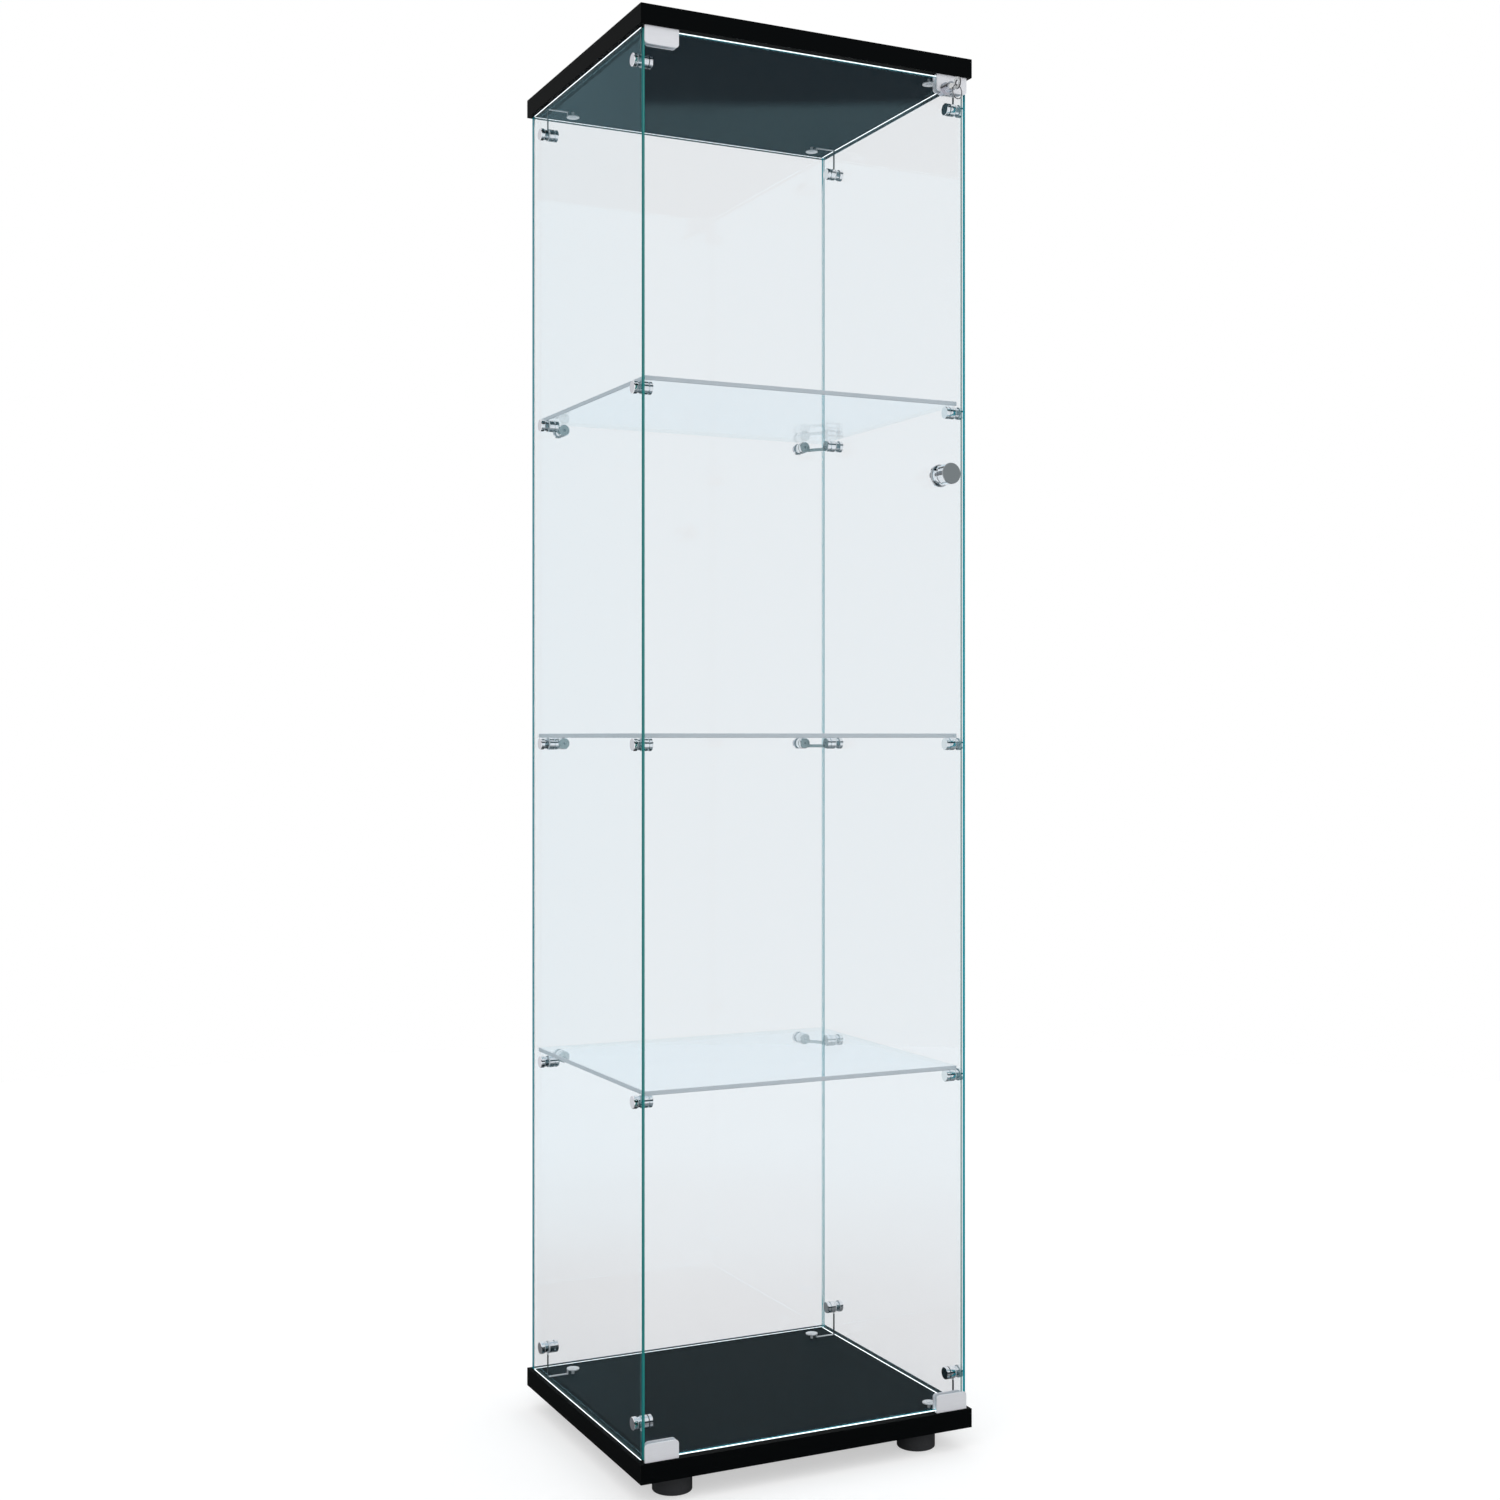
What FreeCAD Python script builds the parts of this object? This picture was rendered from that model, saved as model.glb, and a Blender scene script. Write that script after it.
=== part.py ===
import FreeCAD, Part
import math
import os

# Tall glass display case: two boards, three fixed glass panels, a pivoting glass door with a
# corner lock, three glass shelves, and the round clamps and bent strips that hold it together.
# Millimetres. X runs along the front, Y to the back, Z up. While the pieces are made, X = 0 is the
# middle of the case, Y = 0 the front of the boards and Z = 0 the floor. Before export everything
# moves along Y, so that the origin lies on the floor under the middle of the whole case.

# Boards and feet
board_width = 420.0
board_depth = 370.0
board_thickness = 22.0
board_edge_round = 0.4
case_height = 1630.0
foot_height = 25.0
foot_radius = 22.5
foot_edge_round = 1.5
foot_from_side = 53.5
foot_from_front = 38.5
foot_screw_radius = 2.0
foot_screw_bite = 15.0
foot_screw_head_radius = 4.0
foot_screw_head_height = 2.5
foot_counterbore_depth = 12.0
screw_hole_clearance = 0.05

# Glass
glass_thickness = 5.0
glass_inset = 5.0
glass_arris = 0.5
side_panel_gap = 4.0
panel_seat_clearance = 0.03
clamp_hole_radius = 6.2
shelf_thickness = 5.0
shelf_side_gap = 1.0
shelf_back_gap = 2.0
shelf_front_gap = 6.0
lower_shelf_rise = 396.0
shelf_pitch = 391.0
shelf_seat_clearance = 0.1

# Round clamps on the panels
clamp_radius = 7.25
clamp_edge_bevel = 0.5
clamp_cap_length = 4.5
clamp_cap_bore = 3.0
outer_gasket_thickness = 0.5
gasket_radius = 7.0
strip_thickness = 1.2
clamp_barrel_length = 6.0
clamp_groove_width = 1.2
clamp_neck_radius = 5.5
clamp_end_length = 4.0
clamp_end_bore = 2.5
clamp_stud_radius = 3.0
clamp_collar_radius = 6.0
clamp_collar_clearance = 0.2
clamp_pin_radius = 1.5
stud_clearance = 0.05
front_clamp_from_edge = 11.0
rear_clamp_from_edge = 36.5
back_clamp_from_side = 41.0

# Bent strips from the board clamps to the boards
strip_width = 2.0
strip_eye_radius = 7.0
base_bracket_rise = 37.3
top_bracket_rise = 32.6
bracket_reach = 27.0
bracket_step = 5.5
bracket_pad_radius = 7.75
bracket_pad_thickness = 1.2
bracket_screw_radius = 1.75
bracket_screw_head_radius = 3.5
bracket_screw_head_height = 0.8
bracket_screw_bite = 12.0

# Corner straps under the shelves
strap_thickness = 1.0
strap_height = 4.0
strap_drop = 3.5
strap_eye_radius = 6.5

# Door and its corner clips
door_side_inset = 6.0
door_gap = 2.0
clip_width = 40.0
clip_height = 20.0
clip_plate = 2.0
clip_corner_round = 4.0
clip_running_gap = 0.3
clip_back_setback = 3.0
clip_pad_thickness = 0.5
clip_pad_margin = 2.0
clip_screw_radius = 2.5
clip_screw_clearance = 0.05
clip_screw_socket_radius = 1.2
clip_screw_socket_depth = 1.2
clip_screw_from_edge = 10.0
clip_screw_count = 2
lock_clip_screw_count = 1

# Door pivots
pivot_from_edge = 5.0
pivot_radius = 2.5
pivot_reach = 8.0
pivot_clearance = 0.06
bush_wall = 2.5
bush_floor = 2.0
bush_fit = 0.05

# Knob
knob_from_side = 41.5
knob_rise = 1092.3
knob_length = 27.5
knob_rose_radius = 13.2
knob_rose_height = 2.6
knob_waist_radius = 10.4
knob_head_radius = 12.4
knob_head_length = 12.0
knob_edge_bevel = 0.6
knob_screw_radius = 2.0
knob_screw_bite = 12.0
knob_screw_clearance = 0.05
knob_washer_radius = 8.0
knob_washer_thickness = 1.0
knob_screw_head_radius = 6.0
knob_screw_head_height = 2.2
knob_hole_radius = 4.0

# Lock in the upper free corner of the door
lock_from_side = 34.0
lock_drop = 17.0
lock_nose = 13.0
lock_barrel_radius = 5.5
lock_barrel_clearance = 0.05
lock_glass_clearance = 1.0
lock_bezel_radius = 7.5
lock_bezel_height = 1.5
lock_core_radius = 3.5
lock_core_clearance = 0.08
lock_stub_radius = 2.5
lock_cam_thickness = 2.0
lock_cam_width = 8.0
lock_cam_length = 22.5
lock_cam_gap = 0.6
cam_screw_radius = 1.25
cam_screw_bite = 5.0
cam_screw_head_radius = 3.0
cam_screw_head_height = 1.2
mortise_clearance = 1.2

# Key and key ring
key_thickness = 1.8
key_blade_width = 5.0
key_blade_length = 11.0
key_slot_clearance = 0.1
key_neck = 5.0
key_bow_radius = 7.0
key_bow_hole = 3.4
ring_wire_radius = 0.6
ring_radius = 8.0
ring_slant = 18.0
ring_clearance = 0.3

# Levels
base_under = foot_height
base_top = foot_height + board_thickness
roof_under = case_height - board_thickness
panel_bottom = base_top + panel_seat_clearance
panel_top = roof_under - panel_seat_clearance
door_bottom = base_top + door_gap
door_top = roof_under - door_gap
knob_level = base_top + knob_rise
lock_level = roof_under - lock_drop

# Plan
half_width = board_width / 2
side_outer = half_width - glass_inset
side_inner = side_outer - glass_thickness
back_outer = board_depth - glass_inset
back_inner = back_outer - glass_thickness
door_front = glass_inset
door_back = door_front + glass_thickness
door_half = half_width - door_side_inset
panel_front = door_back + side_panel_gap
front_clamp_y = panel_front + front_clamp_from_edge
rear_clamp_y = back_inner - rear_clamp_from_edge
pivot_x = -door_half + pivot_from_edge
pivot_y = door_front + glass_thickness / 2
knob_x = half_width - knob_from_side
lock_x = half_width - lock_from_side

# Clamp stack, measured inwards from the outer face of the glass
stack_glass = glass_thickness
stack_barrel = stack_glass + strip_thickness
stack_groove = stack_barrel + clamp_barrel_length
stack_end = stack_groove + clamp_groove_width
stack_strap = stack_end + clamp_end_length

# Clip section, front to back
clip_front = door_front - clip_pad_thickness - clip_plate
clip_back = door_back + clip_pad_thickness + clip_plate
clip_web = door_gap - clip_running_gap - clip_pad_thickness

# Lock and key places
nose_front = clip_front - lock_nose
cam_front = clip_back + lock_cam_gap
bow_y = nose_front - key_neck - key_bow_radius
rim_radius = (key_bow_radius + key_bow_hole) / 2
rim_half = (key_bow_radius - key_bow_hole) / 2
rim_across = key_thickness / 2 / math.cos(math.radians(ring_slant))
ring_pass = math.hypot(rim_half, rim_across) + ring_wire_radius + ring_clearance
ring_pivot_z = lock_level - rim_radius
ring_centre_z = ring_pivot_z - (ring_radius - ring_pass)
key_reach = key_bow_radius - bow_y

UP = FreeCAD.Vector(0, 0, 1)
DOWN = FreeCAD.Vector(0, 0, -1)
RIGHT = FreeCAD.Vector(1, 0, 0)
LEFT = FreeCAD.Vector(-1, 0, 0)
BACK = FreeCAD.Vector(0, 1, 0)
FRONT = FreeCAD.Vector(0, -1, 0)

shelf_names = ("lower", "middle", "upper")
shelf_levels = [base_top + lower_shelf_rise + i * shelf_pitch for i in range(len(shelf_names))]


def point(x, y, z):
    return FreeCAD.Vector(x, y, z)


def block(x0, x1, y0, y1, z0, z1):
    return Part.makeBox(x1 - x0, y1 - y0, z1 - z0, point(x0, y0, z0))


def rod(radius, length, start, direction):
    return Part.makeCylinder(radius, length, start, direction)


def spun(profile, start, direction):
    """Solid of revolution: profile is (radius, height) pairs along direction from start."""
    corners = [point(radius, 0, height) for radius, height in profile]
    face = Part.Face(Part.makePolygon(corners + [corners[0]]))
    solid = face.revolve(point(0, 0, 0), UP, 360)
    return moved(solid, start, direction)


def moved(shape, start, direction):
    """Copy of a shape made along +Z from the origin, turned to direction and put at start."""
    copy = shape.copy()
    copy.Placement = FreeCAD.Placement(start, FreeCAD.Rotation(UP, direction))
    return copy


def flipped(shape):
    """Mirror image of a shape about the level half way between the two boards."""
    return shape.mirror(point(0, 0, (base_top + roof_under) / 2), UP)


def mirrored(shape):
    """Mirror image of a shape about the middle plane of the case."""
    return shape.mirror(point(0, 0, 0), RIGHT)


def rounded(shape, radius, keep):
    """Rounds the edges that keep() accepts."""
    return shape.makeFillet(radius, [edge for edge in shape.Edges if keep(edge)])


def side_clamps(level):
    """Places of the four clamps on the two side panels at a level: outer face point and inward way."""
    places = []
    for y in (front_clamp_y, rear_clamp_y):
        places.append((point(-side_outer, y, level), RIGHT))
        places.append((point(side_outer, y, level), LEFT))
    return places


def back_clamps(level):
    """Places of the two clamps on the back panel at a level."""
    x = half_width - back_clamp_from_side
    return [(point(-x, back_outer, level), FRONT), (point(x, back_outer, level), FRONT)]


def shelf_clamp_level(shelf_level):
    return shelf_level - shelf_seat_clearance - clamp_radius


base_places = side_clamps(base_top + base_bracket_rise)
top_places = side_clamps(roof_under - top_bracket_rise)
shelf_places = {}
for name, level in zip(shelf_names, shelf_levels):
    clamp_level = shelf_clamp_level(level)
    shelf_places[name] = side_clamps(clamp_level) + back_clamps(clamp_level)
all_shelf_places = [place for name in shelf_names for place in shelf_places[name]]
all_places = base_places + all_shelf_places + top_places
rear_shelf_places = [place for name in shelf_names for place in shelf_places[name][2:]]


def foot_centres():
    far = board_depth - foot_from_front
    x = half_width - foot_from_side
    return {
        "front_left": (-x, foot_from_front),
        "front_right": (x, foot_from_front),
        "back_left": (-x, far),
        "back_right": (x, far),
    }


def bracket_screw_centre(y):
    """Plan place of the screw at the pad of a left-hand bracket."""
    return -side_inner + bracket_reach + bracket_pad_radius - strip_thickness, y


def board(level):
    """Plain board with its outer edges rounded."""
    solid = block(-half_width, half_width, 0, board_depth, level, level + board_thickness)
    return rounded(solid, board_edge_round, lambda edge: True)


def pivot_recess(level, direction):
    outer = pivot_radius + pivot_clearance + bush_wall + bush_fit
    return rod(outer, pivot_reach + bush_floor, point(pivot_x, pivot_y, level), direction)


def bracket_pilots(level, direction):
    """Pilot holes of the four bracket screws in one board."""
    holes = []
    radius = bracket_screw_radius + screw_hole_clearance
    for y in (front_clamp_y, rear_clamp_y):
        x, place_y = bracket_screw_centre(y)
        for side in (x, -x):
            holes.append(rod(radius, bracket_screw_bite, point(side, place_y, level), direction))
    return holes


def base_board():
    solid = board(base_under)
    cuts = bracket_pilots(base_top, DOWN) + [pivot_recess(base_top, DOWN)]
    pilot_radius = foot_screw_radius + screw_hole_clearance
    for x, y in foot_centres().values():
        cuts.append(rod(pilot_radius, foot_screw_bite, point(x, y, base_under), UP))
    return solid.cut(Part.makeCompound(cuts))


def lock_mortise():
    """Slot in the underside of the top board that the lock's cam swings up into."""
    tip = lock_cam_length + mortise_clearance
    sweep = math.sqrt(tip ** 2 - lock_drop ** 2)
    left = lock_x - lock_cam_width / 2 - mortise_clearance
    near = cam_front - mortise_clearance
    far = cam_front + lock_cam_thickness + mortise_clearance
    return block(left, lock_x + sweep, near, far, roof_under, lock_level + tip)


def top_board():
    solid = board(roof_under)
    cuts = bracket_pilots(roof_under, UP) + [pivot_recess(roof_under, UP), lock_mortise()]
    return solid.cut(Part.makeCompound(cuts))


def foot(x, y):
    """Round foot with a counterbored screw hole."""
    solid = rod(foot_radius, foot_height, point(x, y, 0), UP)
    solid = rounded(solid, foot_edge_round, lambda edge: edge.BoundBox.ZMax < foot_height / 2)
    bore = rod(foot_screw_radius + screw_hole_clearance, foot_height, point(x, y, 0), UP)
    sink = rod(foot_screw_head_radius + screw_hole_clearance, foot_counterbore_depth, point(x, y, 0), UP)
    return solid.cut(bore.fuse(sink))


def foot_screw(x, y):
    head_start = foot_counterbore_depth - foot_screw_head_height
    head = rod(foot_screw_head_radius, foot_screw_head_height, point(x, y, head_start), UP)
    shank_length = foot_height - foot_counterbore_depth + foot_screw_bite
    shank = rod(foot_screw_radius, shank_length, point(x, y, foot_counterbore_depth), UP)
    return head.fuse(shank).removeSplitter()


def pane(x0, x1, y0, y1, z0, z1):
    """Sheet of glass whose edges are ground to a small arris."""
    solid = block(x0, x1, y0, y1, z0, z1)
    return solid.makeChamfer(glass_arris, solid.Edges)


def clamp_holes(places):
    """Holes through the glass for a list of clamps."""
    return [rod(clamp_hole_radius, glass_thickness, place, inward) for place, inward in places]


def side_panel(sign):
    """Side panel with the holes of the clamps on that side."""
    edges = sorted((sign * side_outer, sign * side_inner))
    solid = pane(*edges, panel_front, back_inner, panel_bottom, panel_top)
    holes = clamp_holes([place for place in all_places if place[0].x * sign > 0 and place[1].y == 0])
    return solid.cut(Part.makeCompound(holes))


def back_panel():
    solid = pane(-side_outer, side_outer, back_inner, back_outer, panel_bottom, panel_top)
    holes = clamp_holes([place for place in all_places if place[1].y != 0])
    return solid.cut(Part.makeCompound(holes))


def shelf(level):
    reach = side_inner - shelf_side_gap
    near = door_back + shelf_front_gap
    far = back_inner - shelf_back_gap
    return pane(-reach, reach, near, far, level, level + shelf_thickness)


def bevelled_rod(radius, length, bevel):
    """Profile of a rod along +Z whose far end is bevelled."""
    return [(0, 0), (radius, 0), (radius, length - bevel), (radius - bevel, length), (0, length)]


def clamp_outer_cap(place, inward):
    """Cap outside the glass, bored blind for the stud."""
    face = place - inward * outer_gasket_thickness
    solid = spun(bevelled_rod(clamp_radius, clamp_cap_length, clamp_edge_bevel), face, -inward)
    return solid.cut(rod(clamp_stud_radius + stud_clearance, clamp_cap_bore, face, -inward))


def clamp_barrel(place, inward):
    """Barrel inside the glass, with the narrow neck that leaves the groove before the end cap."""
    start = place + inward * stack_barrel
    solid = rod(clamp_radius, clamp_barrel_length, start, inward)
    neck = rod(clamp_neck_radius, clamp_barrel_length + clamp_groove_width, start, inward)
    bore = rod(clamp_stud_radius + stud_clearance, clamp_barrel_length + clamp_groove_width, start, inward)
    return solid.fuse(neck).removeSplitter().cut(bore)


def clamp_end_cap(place, inward):
    """Cap that screws onto the inner end of the stud."""
    start = place + inward * stack_end
    solid = spun(bevelled_rod(clamp_radius, clamp_end_length, clamp_edge_bevel), start, inward)
    bore = rod(clamp_stud_radius + stud_clearance, clamp_end_bore, start, inward)
    if (place, inward) in rear_shelf_places:
        bore = bore.fuse(rod(clamp_pin_radius + stud_clearance, clamp_end_length, start, inward))
    return solid.cut(bore)


def clamp_stud(place, inward):
    """Stud with a collar that fills the hole in the glass; in a rear corner its end holds a strap."""
    head = outer_gasket_thickness + clamp_cap_bore
    shank = rod(clamp_stud_radius, head + stack_end + clamp_end_bore, place - inward * head, inward)
    collar_length = glass_thickness - 2 * clamp_collar_clearance
    collar = rod(clamp_collar_radius, collar_length, place + inward * clamp_collar_clearance, inward)
    pieces = [collar]
    if (place, inward) in rear_shelf_places:
        pieces.append(rod(clamp_pin_radius, stack_strap + strap_thickness, place, inward))
    return shank.fuse(pieces).removeSplitter()


def gasket(start, direction, thickness):
    ring = rod(gasket_radius, thickness, start, direction)
    return ring.cut(rod(clamp_stud_radius + stud_clearance, thickness, start, direction))


def outer_gasket(place, inward):
    return gasket(place, -inward, outer_gasket_thickness)


def inner_gasket(place, inward):
    return gasket(place + inward * stack_glass, inward, strip_thickness)


def left_bracket(y, rise):
    """Bent strip at the base: eye on the clamp, leg down the glass, sole on the board, raised pad."""
    near = -side_inner
    stud_level = base_top + rise
    end = near + bracket_reach
    half = strip_width / 2
    pad_bottom = base_top + bracket_step
    pad_top = pad_bottom + bracket_pad_thickness
    leg = block(near, near + strip_thickness, y - half, y + half, base_top, stud_level)
    eye = rod(strip_eye_radius, strip_thickness, point(near, y, stud_level), RIGHT)
    sole = block(near, end, y - half, y + half, base_top, base_top + strip_thickness)
    riser = block(end - strip_thickness, end, y - half, y + half, base_top, pad_top)
    pad_x, pad_y = bracket_screw_centre(y)
    pad = rod(bracket_pad_radius, bracket_pad_thickness, point(pad_x, pad_y, pad_bottom), UP)
    solid = leg.fuse([eye, sole, riser, pad]).removeSplitter()
    stud_hole = rod(clamp_stud_radius + stud_clearance, strip_thickness, point(near, y, stud_level), RIGHT)
    screw_hole_radius = bracket_screw_radius + screw_hole_clearance
    screw_hole = rod(screw_hole_radius, bracket_pad_thickness, point(pad_x, pad_y, pad_bottom), UP)
    return solid.cut(stud_hole.fuse(screw_hole))


def left_bracket_screw(y):
    x, place_y = bracket_screw_centre(y)
    head_bottom = base_top + bracket_step + bracket_pad_thickness
    head = rod(bracket_screw_head_radius, bracket_screw_head_height, point(x, place_y, head_bottom), UP)
    shank_bottom = base_top - bracket_screw_bite
    shank = rod(bracket_screw_radius, head_bottom - shank_bottom, point(x, place_y, shank_bottom), UP)
    return head.fuse(shank).removeSplitter()


def left_strap(level):
    """Strap in the rear left corner: an eye on the end of each clamp and a slanting bar between."""
    side_x = -side_outer + stack_strap
    back_x = -half_width + back_clamp_from_side
    back_y = back_outer - stack_strap
    side_eye_centre = point(side_x, rear_clamp_y, level)
    back_eye_centre = point(back_x, back_y, level)
    side_eye = rod(strap_eye_radius, strap_thickness, side_eye_centre, RIGHT)
    back_eye = rod(strap_eye_radius, strap_thickness, back_eye_centre, FRONT)
    bar_bottom = level - strap_drop - strap_height / 2
    side_y = rear_clamp_y + strap_eye_radius
    edge_x = back_x - strap_eye_radius
    outline = [
        point(side_x, rear_clamp_y, bar_bottom),
        point(side_x, side_y, bar_bottom),
        point(edge_x, back_y, bar_bottom),
        point(back_x, back_y, bar_bottom),
        point(back_x, back_y - strap_thickness, bar_bottom),
        point(edge_x, back_y - strap_thickness, bar_bottom),
        point(side_x + strap_thickness, side_y, bar_bottom),
        point(side_x + strap_thickness, rear_clamp_y, bar_bottom),
    ]
    bar = Part.Face(Part.makePolygon(outline + [outline[0]])).extrude(UP * strap_height)
    hole = clamp_pin_radius + stud_clearance
    side_hole = rod(hole, strap_thickness, side_eye_centre, RIGHT)
    back_hole = rod(hole, strap_thickness, back_eye_centre, FRONT)
    return side_eye.fuse([back_eye, bar]).removeSplitter().cut(side_hole.fuse(back_hole))


def door_glass():
    solid = pane(-door_half, door_half, door_front, door_back, door_bottom, door_top)
    knob_hole = rod(knob_hole_radius, glass_thickness, point(knob_x, door_front, knob_level), BACK)
    lock_hole_radius = lock_barrel_radius + lock_glass_clearance
    lock_hole = rod(lock_hole_radius, glass_thickness, point(lock_x, door_front, lock_level), BACK)
    return solid.cut(knob_hole.fuse(lock_hole))


def clip_plate_shape(x0, x1, y0, y1, z0, z1):
    """Plate whose two corners away from the board are rounded; z0 is the board's side."""
    solid = block(x0, x1, y0, y1, min(z0, z1), max(z0, z1))

    def free_corner(edge):
        box = edge.BoundBox
        upright = box.YLength > (y1 - y0) / 2 and box.XLength < (y1 - y0) / 2
        return upright and abs(box.Center.z - z1) < (y1 - y0) / 2

    return rounded(solid, clip_corner_round, free_corner)


def clip_screw_places(free_side, count):
    """Places along X of the grub screws behind a clip: the one near the door's edge first."""
    near = door_half - clip_screw_from_edge
    far = door_half - clip_width + clip_screw_from_edge
    return [near * free_side, far * free_side][:count]


def corner_clip(free_side, screw_count):
    """Channel over a lower corner of the door; free_side is -1 at the pivots and 1 at the other side."""
    web_bottom = base_top + clip_running_gap
    top = web_bottom + clip_height
    outer = door_half * free_side
    inner = (door_half - clip_width) * free_side
    back_outer_x = (door_half - clip_back_setback) * free_side
    front_x = sorted((outer, inner))
    back_x = sorted((back_outer_x, inner))
    front = clip_plate_shape(*front_x, clip_front, clip_front + clip_plate, web_bottom, top)
    rear = clip_plate_shape(*back_x, clip_back - clip_plate, clip_back, web_bottom, top)
    web = block(*back_x, clip_front, clip_back, web_bottom, web_bottom + clip_web)
    solid = front.fuse([rear, web]).removeSplitter()
    level = web_bottom + clip_height / 2
    bore = clip_screw_radius + clip_screw_clearance
    start = clip_back - clip_plate
    places = clip_screw_places(free_side, screw_count)
    holes = [rod(bore, clip_plate, point(x, start, level), BACK) for x in places]
    return solid.cut(Part.makeCompound(holes))


def corner_clip_pad(free_side):
    """Soft liner between a lower clip and the glass, folded round the glass edge."""
    pad_bottom = door_bottom - clip_pad_thickness
    top = base_top + clip_running_gap + clip_height - clip_pad_margin
    outer = (door_half - clip_back_setback) * free_side
    inner = (door_half - clip_width + clip_pad_margin) * free_side
    across = sorted((outer, inner))
    skin = block(*across, door_front - clip_pad_thickness, door_back + clip_pad_thickness, pad_bottom, top)
    return skin.cut(block(*across, door_front, door_back, door_bottom, top))


def corner_clip_screws(free_side, screw_count):
    """Grub screws that press the liner against the glass from behind."""
    level = base_top + clip_running_gap + clip_height / 2
    start = clip_back - clip_plate
    screws = []
    for x in clip_screw_places(free_side, screw_count):
        body = rod(clip_screw_radius, clip_plate, point(x, start, level), BACK)
        socket = rod(clip_screw_socket_radius, clip_screw_socket_depth, point(x, clip_back, level), FRONT)
        screws.append(body.cut(socket))
    return screws


def hinge_clip():
    """Pivot-side clip with the hole that the pivot pin is fixed in."""
    hole = rod(pivot_radius, clip_web, point(pivot_x, pivot_y, base_top + clip_running_gap), UP)
    return corner_clip(-1, clip_screw_count).cut(hole)


def pivot_pin():
    """Pin from the clip's web down into the bush of the base board."""
    length = clip_web + clip_running_gap + pivot_reach - pivot_clearance
    return rod(pivot_radius, length, point(pivot_x, pivot_y, base_top + clip_running_gap + clip_web), DOWN)


def pivot_bush():
    """Plastic cup in the board that the pivot pin turns in."""
    bore = pivot_radius + pivot_clearance
    top = point(pivot_x, pivot_y, base_top)
    cup = rod(bore + bush_wall, pivot_reach + bush_floor, top, DOWN)
    return cup.cut(rod(bore, pivot_reach, top, DOWN))


def lock_clip():
    """Upper free corner clip, bored for the lock barrel."""
    solid = flipped(corner_clip(1, lock_clip_screw_count))
    bore = lock_barrel_radius + lock_barrel_clearance
    return solid.cut(rod(bore, clip_back - clip_front, point(lock_x, clip_front, lock_level), BACK))


def lock_clip_pad():
    solid = flipped(corner_clip_pad(1))
    bore = lock_barrel_radius + lock_glass_clearance
    return solid.cut(rod(bore, clip_back - clip_front, point(lock_x, clip_front, lock_level), BACK))


def lock_barrel():
    """Fixed barrel of the lock with a bezel against the clip."""
    start = point(lock_x, clip_back, lock_level)
    length = clip_back - nose_front
    body = rod(lock_barrel_radius, length, start, FRONT)
    bezel = rod(lock_bezel_radius, lock_bezel_height, point(lock_x, clip_front, lock_level), FRONT)
    solid = body.fuse(bezel).removeSplitter()
    return solid.cut(rod(lock_core_radius + lock_core_clearance, length, start, FRONT))


def lock_core():
    """Turning core with the key slot in front and a stub for the cam behind."""
    body = rod(lock_core_radius, clip_back - nose_front, point(lock_x, nose_front, lock_level), BACK)
    stub_length = lock_cam_gap + lock_cam_thickness
    stub = rod(lock_stub_radius, stub_length, point(lock_x, clip_back, lock_level), BACK)
    half = key_thickness / 2 + key_slot_clearance
    tall = key_blade_width / 2 + key_slot_clearance
    depth = nose_front + key_blade_length + key_slot_clearance
    slot = block(lock_x - half, lock_x + half, nose_front, depth, lock_level - tall, lock_level + tall)
    end = cam_front + lock_cam_thickness
    screw_hole = rod(cam_screw_radius, cam_screw_bite, point(lock_x, end, lock_level), FRONT)
    return body.fuse(stub).removeSplitter().cut(slot.fuse(screw_hole))


def lock_cam():
    """Lever behind the lock, lying level and to the right while the lock is open."""
    half = lock_cam_width / 2
    far = cam_front + lock_cam_thickness
    nose_x = lock_x + lock_cam_length - half
    arm = block(lock_x, nose_x, cam_front, far, lock_level - half, lock_level + half)
    hub = rod(half, lock_cam_thickness, point(lock_x, cam_front, lock_level), BACK)
    nose = rod(half, lock_cam_thickness, point(nose_x, cam_front, lock_level), BACK)
    hole = rod(lock_stub_radius, lock_cam_thickness, point(lock_x, cam_front, lock_level), BACK)
    return arm.fuse([hub, nose]).removeSplitter().cut(hole)


def cam_screw():
    end = cam_front + lock_cam_thickness
    head = rod(cam_screw_head_radius, cam_screw_head_height, point(lock_x, end, lock_level), BACK)
    shank = rod(cam_screw_radius, cam_screw_bite, point(lock_x, end, lock_level), FRONT)
    return head.fuse(shank).removeSplitter()


def key():
    """Flat key standing upright in the lock: a ring bow, a neck and a blade in the core's slot."""
    half = key_thickness / 2
    bow = rod(key_bow_radius, key_thickness, point(lock_x - half, bow_y, lock_level), RIGHT)
    hole = rod(key_bow_hole, key_thickness, point(lock_x - half, bow_y, lock_level), RIGHT)
    wide = key_blade_width / 2
    tip = nose_front + key_blade_length
    blade = block(lock_x - half, lock_x + half, bow_y + rim_radius, tip, lock_level - wide, lock_level + wide)
    return bow.fuse(blade).removeSplitter().cut(hole)


def key_ring():
    """Ring through the bow of the key, hanging at a slant to it."""
    slant = math.radians(ring_slant)
    axis = point(-math.sin(slant), math.cos(slant), 0)
    return Part.makeTorus(ring_radius, ring_wire_radius, point(lock_x, bow_y, ring_centre_z), axis)


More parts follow.
